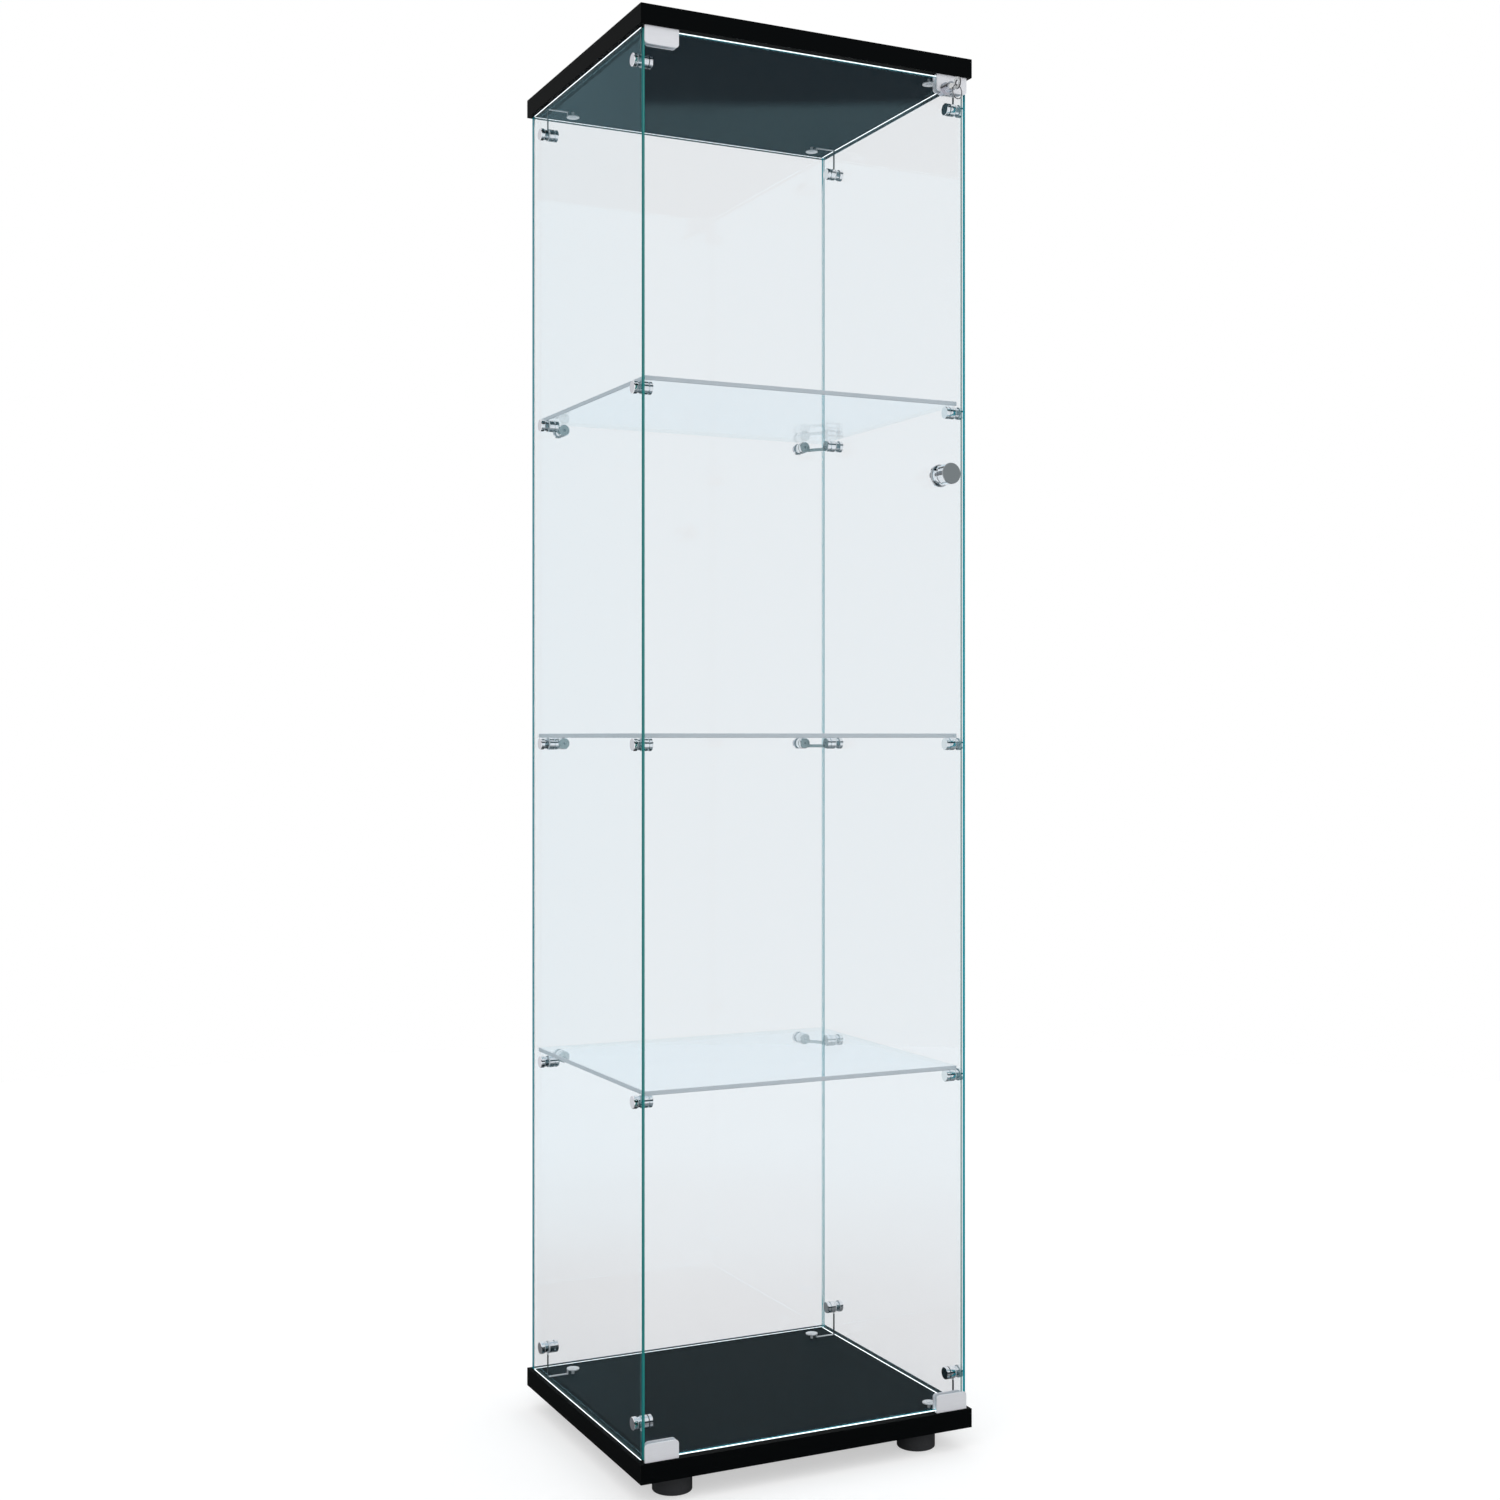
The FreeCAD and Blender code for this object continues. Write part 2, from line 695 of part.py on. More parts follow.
def knob():
    """Turned knob: a rose on the glass, a hollowed waist and a cylindrical head."""
    neck_top = knob_length - knob_head_length
    middle = (knob_rose_height + neck_top) / 2
    axis_foot = point(0, 0, 0)
    rose_edge = point(knob_rose_radius, 0, 0)
    rose_shoulder = point(knob_rose_radius, 0, knob_rose_height - knob_edge_bevel)
    waist_start = point(knob_head_radius, 0, knob_rose_height)
    waist_middle = point(knob_waist_radius, 0, middle)
    waist_end = point(knob_head_radius, 0, neck_top)
    head_edge = point(knob_head_radius, 0, knob_length - knob_edge_bevel)
    face_edge = point(knob_head_radius - knob_edge_bevel, 0, knob_length)
    axis_top = point(0, 0, knob_length)
    lower = Part.makePolygon([axis_foot, rose_edge, rose_shoulder, waist_start])
    waist = Part.Arc(waist_start, waist_middle, waist_end).toShape()
    upper = Part.makePolygon([waist_end, head_edge, face_edge, axis_top, axis_foot])
    profile = Part.Wire(lower.Edges + [waist] + upper.Edges)
    solid = Part.Face(profile).revolve(axis_foot, UP, 360)
    bore = rod(knob_screw_radius + knob_screw_clearance, knob_screw_bite, axis_foot, UP)
    return moved(solid.cut(bore), point(knob_x, door_front, knob_level), FRONT)


def knob_washer():
    start = point(knob_x, door_back, knob_level)
    disc = rod(knob_washer_radius, knob_washer_thickness, start, BACK)
    return disc.cut(rod(knob_screw_radius + knob_screw_clearance, knob_washer_thickness, start, BACK))


def knob_screw():
    seat = point(knob_x, door_back + knob_washer_thickness, knob_level)
    head = spun(bevelled_rod(knob_screw_head_radius, knob_screw_head_height, knob_edge_bevel), seat, BACK)
    shank = rod(knob_screw_radius, knob_washer_thickness + glass_thickness + knob_screw_bite, seat, FRONT)
    return head.fuse(shank).removeSplitter()


def all_nodes():
    """Every piece by its node name."""
    nodes = {"base_board": base_board(), "top_board": top_board()}
    for name, (x, y) in foot_centres().items():
        nodes["foot_" + name] = foot(x, y)
    nodes["foot_screws"] = [foot_screw(x, y) for x, y in foot_centres().values()]

    nodes["left_glass"] = side_panel(-1)
    nodes["right_glass"] = side_panel(1)
    nodes["back_glass"] = back_panel()
    for name, level in zip(shelf_names, shelf_levels):
        nodes[name + "_shelf"] = shelf(level)

    nodes["clamp_outer_caps"] = [clamp_outer_cap(*place) for place in all_places]
    nodes["clamp_end_caps"] = [clamp_end_cap(*place) for place in all_places]
    nodes["clamp_studs"] = [clamp_stud(*place) for place in all_places]
    nodes["clamp_outer_gaskets"] = [outer_gasket(*place) for place in all_places]
    nodes["clamp_inner_gaskets"] = [inner_gasket(*place) for place in all_shelf_places]
    nodes["base_clamp_barrels"] = [clamp_barrel(*place) for place in base_places]
    nodes["top_clamp_barrels"] = [clamp_barrel(*place) for place in top_places]
    for name, level in zip(shelf_names, shelf_levels):
        nodes[name + "_shelf_clamp_barrels"] = [clamp_barrel(*place) for place in shelf_places[name]]
        strap = left_strap(shelf_clamp_level(level))
        nodes[name + "_shelf_left_strap"] = strap
        nodes[name + "_shelf_right_strap"] = mirrored(strap)

    screws = []
    for end, y in (("front", front_clamp_y), ("rear", rear_clamp_y)):
        base_bracket = left_bracket(y, base_bracket_rise)
        top_bracket = flipped(left_bracket(y, top_bracket_rise))
        screw = left_bracket_screw(y)
        nodes["base_bracket_" + end + "_left"] = base_bracket
        nodes["base_bracket_" + end + "_right"] = mirrored(base_bracket)
        nodes["top_bracket_" + end + "_left"] = top_bracket
        nodes["top_bracket_" + end + "_right"] = mirrored(top_bracket)
        screws += [screw, mirrored(screw), flipped(screw), flipped(mirrored(screw))]
    nodes["bracket_screws"] = screws

    nodes["door_glass"] = door_glass()
    nodes["lower_hinge_clip"] = hinge_clip()
    nodes["upper_hinge_clip"] = flipped(hinge_clip())
    nodes["lower_corner_clip"] = corner_clip(1, clip_screw_count)
    nodes["lock_clip"] = lock_clip()
    pivot_pad = corner_clip_pad(-1)
    nodes["clip_pads"] = [pivot_pad, flipped(pivot_pad), corner_clip_pad(1), lock_clip_pad()]
    hinge_screws = corner_clip_screws(-1, clip_screw_count)
    lock_screws = corner_clip_screws(1, lock_clip_screw_count)
    screws = hinge_screws + corner_clip_screws(1, clip_screw_count)
    nodes["clip_screws"] = screws + [flipped(screw) for screw in hinge_screws + lock_screws]
    nodes["lower_pivot_pin"] = pivot_pin()
    nodes["upper_pivot_pin"] = flipped(pivot_pin())
    nodes["lower_pivot_bush"] = pivot_bush()
    nodes["upper_pivot_bush"] = flipped(pivot_bush())

    nodes["lock_barrel"] = lock_barrel()
    nodes["lock_core"] = lock_core()
    nodes["lock_cam"] = lock_cam()
    nodes["cam_screw"] = cam_screw()
    nodes["key"] = key()
    nodes["key_ring"] = key_ring()

    nodes["knob"] = knob()
    nodes["knob_washer"] = knob_washer()
    nodes["knob_screw"] = knob_screw()
    return nodes


to_origin = point(0, (key_reach - board_depth) / 2, 0)
os.makedirs("parts", exist_ok=True)
for node, shapes in all_nodes().items():
    solids = shapes if isinstance(shapes, list) else [shapes]
    whole = Part.makeCompound([solid.translated(to_origin) for solid in solids])
    whole.exportStep("parts/" + node + ".step")
    state = "valid" if whole.isValid() else "NOT VALID"
    print(node, len(whole.Solids), "solids", round(whole.Volume), "mm3", state)
print("door pivot", pivot_x, pivot_y + to_origin.y)
print("lock axis", lock_x, lock_level)
print("ring pivot", lock_x, bow_y + to_origin.y, ring_pivot_z)
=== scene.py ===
# %% [markdown]
# # A glass display case, dressed for its picture
# The solids of the case come from the CAD model, already in place and in metres. Here every piece gets
# its finish, and a floor, lights and a camera are set up to match the photograph. No shape is changed.

# %% Load the frame
import math
import bpy
import numpy as np
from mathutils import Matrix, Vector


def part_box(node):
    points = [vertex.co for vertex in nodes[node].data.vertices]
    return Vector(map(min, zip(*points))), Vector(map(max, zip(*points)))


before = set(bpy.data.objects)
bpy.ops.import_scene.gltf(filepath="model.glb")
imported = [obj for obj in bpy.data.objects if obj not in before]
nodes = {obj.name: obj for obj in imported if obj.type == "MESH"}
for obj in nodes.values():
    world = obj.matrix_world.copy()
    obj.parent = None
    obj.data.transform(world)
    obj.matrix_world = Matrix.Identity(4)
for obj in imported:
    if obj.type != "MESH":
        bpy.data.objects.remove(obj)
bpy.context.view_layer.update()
scene = bpy.context.scene
scene.view_settings.view_transform = "Standard"
print("CAD nodes:", len(nodes))

# %% [markdown]
# ## Colours
# A colour is easiest to compare with a picture as three numbers from 0 to 255. Shaders count light
# instead, which does not keep step with those numbers, so one function turns the first into the second.

# %% Colours
WHITE = (1.0, 1.0, 1.0, 1.0)


def colour(red, green, blue):
    """Picture values 0 to 255 to linear light: straight near black, then a power of 2.4."""
    share = np.array([red, green, blue]) / 255
    linear = np.where(share <= 0.04045, share / 12.92, ((share + 0.055) / 1.055) ** 2.4)
    return (*[float(value) for value in linear], 1.0)


print("middle grey as light:", round(colour(128, 128, 128)[0], 3))

# %% [markdown]
# ## Node trees
# Every finish is a tree of shader nodes. It could be built by hand in the editor, but a script can be
# read and run again. Blender's calls for it are long, so helpers do what repeats. The first two start a
# material and add a node with its inputs set by name.

# %% Start a material


def add(tree, kind, **inputs):
    """Adds a node and sets the inputs that are given by name, with _ for a space."""
    made = tree.nodes.new(kind)
    for name, value in inputs.items():
        made.inputs[name.replace("_", " ")].default_value = value
    return made


def start_material(name):
    """A new material with only a Principled shader and its output."""
    made = bpy.data.materials.new(name)
    made.use_nodes = True
    tree = made.node_tree
    tree.nodes.clear()
    shader = tree.nodes.new("ShaderNodeBsdfPrincipled")
    output = tree.nodes.new("ShaderNodeOutputMaterial")
    tree.links.new(shader.outputs["BSDF"], output.inputs["Surface"])
    return made, tree, shader


print("materials so far:", len(bpy.data.materials))

# %% [markdown]
# ## Sums and mixes on sockets
# Masks are sums on sockets: compare, multiply, add. A long chain of nodes is hard to read as code, so
# each of these helpers takes sockets or plain values and hands back the result's socket, as a sum on
# paper would.

# %% Sums and mixes


def maths(tree, operation, first, second=None):
    """A Math node; each side is a socket or a number."""
    made = tree.nodes.new("ShaderNodeMath")
    made.operation = operation
    for index, value in enumerate((first, second)):
        if value is None:
            continue
        if isinstance(value, (int, float)):
            made.inputs[index].default_value = value
        else:
            tree.links.new(value, made.inputs[index])
    return made.outputs[0]


def mix_colour(tree, share, first, second):
    """A colour mix; share is a socket, each side a socket or a plain colour."""
    made = tree.nodes.new("ShaderNodeMix")
    made.data_type = "RGBA"
    tree.links.new(share, made.inputs["Factor"])
    for name, value in (("A", first), ("B", second)):
        socket = [s for s in made.inputs if s.name == name and s.type == "RGBA"][0]
        if isinstance(value, tuple):
            socket.default_value = value
        else:
            tree.links.new(value, socket)
    return [s for s in made.outputs if s.type == "RGBA"][0]


def mix_shader(tree, share, first, second):
    """Two shaders mixed by a socket."""
    made = tree.nodes.new("ShaderNodeMixShader")
    for index, socket in enumerate((share, first, second)):
        tree.links.new(socket, made.inputs[index])
    return made.outputs[0]


def part_of(tree, vector, axis):
    """One of the three parts of a vector socket."""
    parts = tree.nodes.new("ShaderNodeSeparateXYZ")
    tree.links.new(vector, parts.inputs[0])
    return parts.outputs[axis]


print("socket helpers:", [helper.__name__ for helper in (maths, mix_colour, mix_shader, part_of)])

# %% [markdown]
# ## Putting a finish on a piece
# A piece of the case is a mesh in the frame, and it stays as it is: it only gets a material, in each
# slot that its mesh has. The names are noted, so that a count after the last finish can tell whether a
# piece was missed.

# %% Dress a piece
SHELVES = ("lower", "middle", "upper")
SIDES = ("left", "right")
dressed = set()


def dress(material, *names):
    """Puts one material on every slot of the named CAD nodes."""
    for name in names:
        mesh = nodes[name].data
        if not mesh.materials:
            mesh.materials.append(material)
        for index in range(len(mesh.materials)):
            mesh.materials[index] = material
        dressed.add(name)


print("pieces to dress:", len(nodes))

# %% [markdown]
# ## Grain
# Real surfaces are never quite even. Grain is a fine noise, stretched along one axis if wanted, that
# moves the roughness up and down and feeds a bump: moulded plastic, laminate and brushed metal differ
# only in its scale, stretch and strength. It could be a picture, but noise has no seams. It is a node
# group, so each material places it with its own values instead of building it again.

# %% Grain group
NOISE_MIDDLE = 0.5


def start_group(name, vectors, values, results):
    """A node group with named vector inputs, value inputs and value outputs."""
    group = bpy.data.node_groups.new(name, "ShaderNodeTree")
    sockets = [(socket, "INPUT", "NodeSocketVector") for socket in vectors]
    sockets += [(socket, "INPUT", "NodeSocketFloat") for socket in values]
    sockets += [(socket, "OUTPUT", "NodeSocketFloat") for socket in results]
    for socket, way, kind in sockets:
        group.interface.new_socket(socket, in_out=way, socket_type=kind)
    given = group.nodes.new("NodeGroupInput").outputs
    wanted = group.nodes.new("NodeGroupOutput").inputs
    return group, given, wanted


def grain_group():
    """Noise on stretched coordinates: height = noise, roughness = middle + spread x (noise - 0.5)."""
    group, given, wanted = start_group("grain", ("Vector", "Stretch"), ("Scale", "Middle", "Spread"),
                                       ("Roughness", "Height"))
    stretched = group.nodes.new("ShaderNodeVectorMath")
    stretched.operation = "MULTIPLY"
    noise = add(group, "ShaderNodeTexNoise", Detail=4.0, Roughness=0.6)
    group.links.new(given["Vector"], stretched.inputs[0])
    group.links.new(given["Stretch"], stretched.inputs[1])
    group.links.new(stretched.outputs[0], noise.inputs["Vector"])
    group.links.new(given["Scale"], noise.inputs["Scale"])
    centred = maths(group, "SUBTRACT", noise.outputs[0], NOISE_MIDDLE)
    swing = maths(group, "MULTIPLY", centred, given["Spread"])
    group.links.new(maths(group, "ADD", swing, given["Middle"]), wanted["Roughness"])
    group.links.new(noise.outputs[0], wanted["Height"])
    return group


GRAIN = grain_group()
print("group:", GRAIN.name)

# %% [markdown]
# ## Smudges
# Polished metal and glass carry handling marks and a little dust. A smudge is a soft, larger noise, and
# only what rises above a starting value counts, so that clean places are left between the marks. It is
# a group for the same reason as the grain.

# %% Smudge group


def smudge_group():
    """Soft noise above a start: mask = (noise - start) x slope, held between 0 and 1."""
    group, given, wanted = start_group("smudge", ("Vector",), ("Scale", "Start", "Slope"), ("Mask",))
    noise = add(group, "ShaderNodeTexNoise", Detail=3.0, Roughness=0.5)
    group.links.new(given["Vector"], noise.inputs["Vector"])
    group.links.new(given["Scale"], noise.inputs["Scale"])
    above = maths(group, "SUBTRACT", noise.outputs[0], given["Start"])
    steep = maths(group, "MULTIPLY", above, given["Slope"])
    held = group.nodes.new("ShaderNodeClamp")
    group.links.new(steep, held.inputs["Value"])
    group.links.new(held.outputs[0], wanted["Mask"])
    return group


SMUDGE = smudge_group()
print("group:", SMUDGE.name)

# %% [markdown]
# ## Grained finishes
# Boards, plastic, brushed metal and soft plastic are all the same idea: two near tones that drift into
# one another, with a roughness and a slight relief that follow the grain. One function makes them all,
# and each finish gives its own tones and strengths.

# %% Grained materials
ALL_WAYS = (1.0, 1.0, 1.0)
RELIEF_DEPTH = 0.0002


def place_group(tree, group, vector, **inputs):
    """Puts a shared group into a material, fed with coordinates and its own values."""
    made = tree.nodes.new("ShaderNodeGroup")
    made.node_tree = group
    tree.links.new(vector, made.inputs["Vector"])
    for name, value in inputs.items():
        made.inputs[name].default_value = value
    return made


def grained(name, base, second, scale, middle, spread, bump, stretch=ALL_WAYS, **sockets):
    """A material whose colour drifts between two tones and whose roughness and bump follow the grain."""
    made, tree, shader = start_material(name)
    where = tree.nodes.new("ShaderNodeTexCoord").outputs["Object"]
    grain = place_group(tree, GRAIN, where, Scale=scale, Stretch=stretch, Middle=middle, Spread=spread)
    tone = mix_colour(tree, grain.outputs["Height"], base, second)
    tree.links.new(tone, shader.inputs["Base Color"])
    tree.links.new(grain.outputs["Roughness"], shader.inputs["Roughness"])
    relief = add(tree, "ShaderNodeBump", Strength=bump, Distance=RELIEF_DEPTH)
    tree.links.new(grain.outputs["Height"], relief.inputs["Height"])
    tree.links.new(relief.outputs[0], shader.inputs["Normal"])
    for socket, value in sockets.items():
        shader.inputs[socket.replace("_", " ")].default_value = value
    return made


print("relief at most", RELIEF_DEPTH * 1000, "mm")

# %% [markdown]
# ## Boards and feet
# The two boards are faced with black laminate. In the picture they are almost pure black and hardly
# shine, so the colour is very dark, the specular level is low and a fine grain keeps the surface from
# looking like a hole. The feet are moulded plastic: a dark grey, with a coarser grain and a deeper
# relief.

# %% Boards and feet
laminate = grained("black_laminate", colour(6, 8, 9), colour(8, 10, 11), scale=1500.0,
                   middle=0.6, spread=0.1, bump=0.01, Specular_IOR_Level=0.02)
dress(laminate, "base_board", "top_board")
foot_plastic = grained("foot_plastic", colour(50, 51, 53), colour(64, 65, 67), scale=700.0,
                       middle=0.55, spread=0.2, bump=0.15, Specular_IOR_Level=0.1)
dress(foot_plastic, "foot_front_left", "foot_front_right", "foot_back_left", "foot_back_right")
print("boards", laminate.name, "feet", foot_plastic.name)

# %% [markdown]
# ## Glass faces
# A pane could be made with a refracting shader, but seven sheets of it in a row are noisy and slow. A
# flat pane hardly moves what is behind it, so its wide faces let light straight through with a slight
# tint, and mirror a little: hardly anything seen square on, much more seen at a slant. The mirrored
# light is teal seen square on, where it has crossed the pane twice, and pales towards a slant.

# %% Wide faces of the glass
LEAST_MIRROR = 0.034
MIRROR_POWER = 9.0
SLANT_TINT = (0.9, 0.965, 0.985, 1.0)


def clear_sheet(tree, where, tint, mirror_tint):
    """Straight-through tint with a mirror share of least + (1 - least) x (1 - cosine) to a power."""
    slant = add(tree, "ShaderNodeLayerWeight", Blend=0.5).outputs["Facing"]
    rise = maths(tree, "POWER", slant, MIRROR_POWER)
    share = maths(tree, "ADD", maths(tree, "MULTIPLY", rise, 1 - LEAST_MIRROR), LEAST_MIRROR)
    clear = add(tree, "ShaderNodeBsdfTransparent", Color=tint)
    mirror = tree.nodes.new("ShaderNodeBsdfGlossy")
    tree.links.new(mix_colour(tree, rise, mirror_tint, SLANT_TINT), mirror.inputs["Color"])
    smudge = place_group(tree, SMUDGE, where, Scale=9.0, Start=0.45, Slope=0.12)
    tree.links.new(smudge.outputs["Mask"], mirror.inputs["Roughness"])
    return mix_shader(tree, share, clear.outputs[0], mirror.outputs[0])


print("mirror seen square on", LEAST_MIRROR)

# %% [markdown]
# ## Where a pane has its edges
# The solids give each pane one mesh, so masks tell its parts from one another. The object's own normals
# tell the wide faces from the edges, and the place on the pane tells the outer edges from the walls of
# the drilled holes, which stay clear. A third mask picks a layer of the thickness, such as the dark
# core.

# %% Masks for a pane
FACE_SQUARE = 0.8
RIM = 0.0008


def looks_along(tree, normal, axis):
    """1 where the normal lies along an axis: its part is squared, so that both ways count."""
    along = part_of(tree, normal, axis)
    return maths(tree, "GREATER_THAN", maths(tree, "MULTIPLY", along, along), FACE_SQUARE)


def rim_mask(tree, where, node, face_axis):
    """1 within RIM of the outline of a sheet, measured from the middle of its node's box."""
    low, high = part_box(node)
    masks = []
    for index, axis in enumerate("XYZ"):
        if axis == face_axis:
            continue
        middle = (low[index] + high[index]) / 2
        reach = (high[index] - low[index]) / 2 - RIM
        away = maths(tree, "ABSOLUTE", maths(tree, "SUBTRACT", part_of(tree, where, axis), middle))
        masks.append(maths(tree, "GREATER_THAN", away, reach))
    return maths(tree, "MAXIMUM", *masks)


def layer_mask(tree, where, node, face_axis, start, end):
    """1 in a layer of the sheet's thickness; start and end are shares of it from its low side."""
    index = "XYZ".index(face_axis)
    low, high = (float(corner[index]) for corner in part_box(node))
    risen = maths(tree, "SUBTRACT", part_of(tree, where, face_axis), low)
    depth = maths(tree, "DIVIDE", risen, high - low)
    above = maths(tree, "GREATER_THAN", depth, start)
    return maths(tree, "MULTIPLY", above, maths(tree, "LESS_THAN", depth, end))


print("rim", RIM * 1000, "mm")

# %% [markdown]
# ## Glass edges
# The narrow edges are where float glass shows its iron green. Each edge has a dark teal core: the teal
# is the glass's own tint, the core's darkness and place are painted shade. Beside the core the edge is
# nearly clear, so it is pale before a white ground and dark before a black one. On the level edges one
# layer is a painted highlight that glows white and the rest is painted shade. An upright edge has one
# painted dark layer seen from outside and another seen through the pane.

# %% Tones and core of the edges
EDGE_DARK = colour(12, 108, 111)
EDGE_BEHIND = colour(0, 168, 182)
EDGE_PALE = colour(150, 243, 249)
PAINTED_EDGE_LIGHT = colour(240, 245, 246)
PAINTED_EDGE_SHADE = colour(20, 30, 33)
EDGE_SHINE = 0.05
EDGE_DRIFT = 0.06
PALE_SHARE = 0.08
PAINTED_EDGE_GLOW = 1.4
LOW_SIDE = -0.1
HIGH_SIDE = 1.1


def painted_edge_core(tree, where, node, face_axis, behind, outside, through):
    """Share of the painted dark core: the outside layer, or the through layer for an edge seen from
    behind.
    """
    front = layer_mask(tree, where, node, face_axis, *outside)
    back = layer_mask(tree, where, node, face_axis, *through)
    front_part = maths(tree, "MULTIPLY", front, maths(tree, "SUBTRACT", 1.0, behind))
    return maths(tree, "ADD", front_part, maths(tree, "MULTIPLY", back, behind))


print("light through the pale part of an edge:", 1 - PALE_SHARE)

# %% [markdown]
# ## One sheet of glass
# A sheet joins the two looks: the clear shader on its wide faces and a solid, partly see-through one on
# its outer edges. The edge's colour is built up in steps, each a mix by a mask: pale, then the painted
# dark core, then the level edges with their painted highlight and painted shade, then a slight drift. A
# sheet says which layers are painted dark, how dark, and how much of its level edges is painted lit and
# glows.

# %% Glass material


def glass(name, node, face_axis, tints, outside, through, dark, dark_behind=EDGE_BEHIND, painted_lit_share=0.5):
    """Sheet glass whose wide faces look along face_axis, with the layers of its edges that are painted
    dark.
    """
    made, tree, shader = start_material(name)
    output = [n for n in tree.nodes if n.type == "OUTPUT_MATERIAL"][0]
    coordinates = tree.nodes.new("ShaderNodeTexCoord")
    where = coordinates.outputs["Object"]
    normal = coordinates.outputs["Normal"]
    behind = tree.nodes.new("ShaderNodeNewGeometry").outputs["Backfacing"]
    # painted shade: the dark core's layer, chosen by which side the edge is seen from
    core = painted_edge_core(tree, where, node, face_axis, behind, outside, through)
    level = looks_along(tree, normal, "Z")
    # painted highlight and painted shade: one layer of the level edges is lit white, the rest is dark
    lit = layer_mask(tree, where, node, face_axis, LOW_SIDE, painted_lit_share)

    tone = mix_colour(tree, core, EDGE_PALE, mix_colour(tree, behind, dark, dark_behind))
    tone = mix_colour(tree, level, tone, mix_colour(tree, lit, PAINTED_EDGE_SHADE, PAINTED_EDGE_LIGHT))
    grain = place_group(tree, GRAIN, where, Scale=60.0, Stretch=ALL_WAYS, Middle=0.3, Spread=0.12)
    drift = maths(tree, "MULTIPLY", grain.outputs["Height"], EDGE_DRIFT)
    tree.links.new(mix_colour(tree, drift, tone, EDGE_PALE), shader.inputs["Base Color"])
    tree.links.new(grain.outputs["Roughness"], shader.inputs["Roughness"])
    shader.inputs["Specular IOR Level"].default_value = EDGE_SHINE
    shader.inputs["Emission Color"].default_value = PAINTED_EDGE_LIGHT
    # painted glow: the lit layer of the level edges emits white though it is no lamp
    glow = maths(tree, "MULTIPLY", maths(tree, "MULTIPLY", level, lit), PAINTED_EDGE_GLOW)
    tree.links.new(glow, shader.inputs["Emission Strength"])
    solid = maths(tree, "MULTIPLY", maths(tree, "MAXIMUM", core, level), 1 - PALE_SHARE)
    tree.links.new(maths(tree, "ADD", solid, PALE_SHARE), shader.inputs["Alpha"])

    narrow = maths(tree, "SUBTRACT", 1.0, looks_along(tree, normal, face_axis))
    edge = maths(tree, "MULTIPLY", rim_mask(tree, where, node, face_axis), narrow)
    wide = clear_sheet(tree, where, *tints)
    tree.links.new(mix_shader(tree, edge, wide, shader.outputs[0]), output.inputs["Surface"])
    dress(made, node)
    return made


print("edge tones:", len((EDGE_DARK, EDGE_BEHIND, EDGE_PALE, PAINTED_EDGE_LIGHT, PAINTED_EDGE_SHADE)))

# %% [markdown]
# ## The seven sheets
# Three walls, a door and three shelves. The walls and the door have a stronger tint than the shelves,
# and each has its own painted dark layers, because the picture looks at each of them from another side.
# A shelf's edges are polished and read as an even pale grey. Many clear sheets lie behind one another,
# so a ray may pass more of them than usual before it stops.

# %% Panes and shelves
PANE_TINTS = ((0.964, 0.9635, 0.9665, 1.0), (0.46, 0.84, 1.0, 1.0))
SHELF_TINTS = ((0.980, 0.990, 0.998, 1.0), (0.91, 0.97, 1.0, 1.0))
SHELF_EDGE = colour(214, 216, 220)
WHOLE = (LOW_SIDE, HIGH_SIDE)
NONE = (2.0, 2.1)
CLEAR_LAYERS = 32
panes = [
    glass("left_pane", "left_glass", "X", PANE_TINTS, outside=(0.36, HIGH_SIDE),
          through=(LOW_SIDE, 0.36), dark=EDGE_DARK, dark_behind=EDGE_DARK, painted_lit_share=0.36),
    glass("right_pane", "right_glass", "X", PANE_TINTS, outside=(0.62, HIGH_SIDE),
          through=(0.15, 0.5), dark=colour(20, 106, 108), painted_lit_share=0.45),
    glass("back_pane", "back_glass", "Y", PANE_TINTS, outside=WHOLE,
          through=(0.05, 0.65), dark=colour(0, 136, 154), painted_lit_share=0.65),
    glass("door_pane", "door_glass", "Y", PANE_TINTS, outside=WHOLE,
          through=WHOLE, dark=colour(18, 128, 124), painted_lit_share=0.85),
]
for shelf_level in SHELVES:
    shelf = shelf_level + "_shelf"
    panes.append(glass(shelf + "_pane", shelf, "Z", SHELF_TINTS, outside=WHOLE,
                       through=NONE, dark=SHELF_EDGE))
scene.cycles.transparent_max_bounces = CLEAR_LAYERS
print("sheets of glass:", len(panes))

# %% [markdown]
# ## Metal that shows where it faces
# Chrome takes its tone from what it faces. In a white studio it would vanish, so photographers put dark
# screens where only the metal sees them. Real screens would show in the glass too, so here each metal
# gets painted reflections instead: faces whose normals point a certain way are painted a certain tone,
# if wanted only in front near the boards.

# %% Rules for faces
HALF_HEIGHT = 0.8275
BOARD_ZONE = 0.65
FLAT = 0.86
BELOW_ALL = -2.0
ABOVE_ALL = 2.0


def faces(axis, start, end, tone, by_boards=False):
    """A painted reflection: where the normal's part along an axis lies between start and end, the tone
    is this one.
    """
    return axis, start, end, tone, by_boards


def flat_ends(axis, way, tone, by_boards=False):
    """A painted reflection for flat ends that look along an axis: backwards for a way of -1, forwards
    for 1.
    """
    start, end = (BELOW_ALL, -FLAT) if way < 0 else (FLAT, ABOVE_ALL)
    return faces(axis, start, end, tone, by_boards)


def height_mask(tree, where, reach):
    """1 further than reach above or below the middle of the case."""
    height = maths(tree, "SUBTRACT", part_of(tree, where, "Z"), HALF_HEIGHT)
    return maths(tree, "GREATER_THAN", maths(tree, "ABSOLUTE", height), reach)


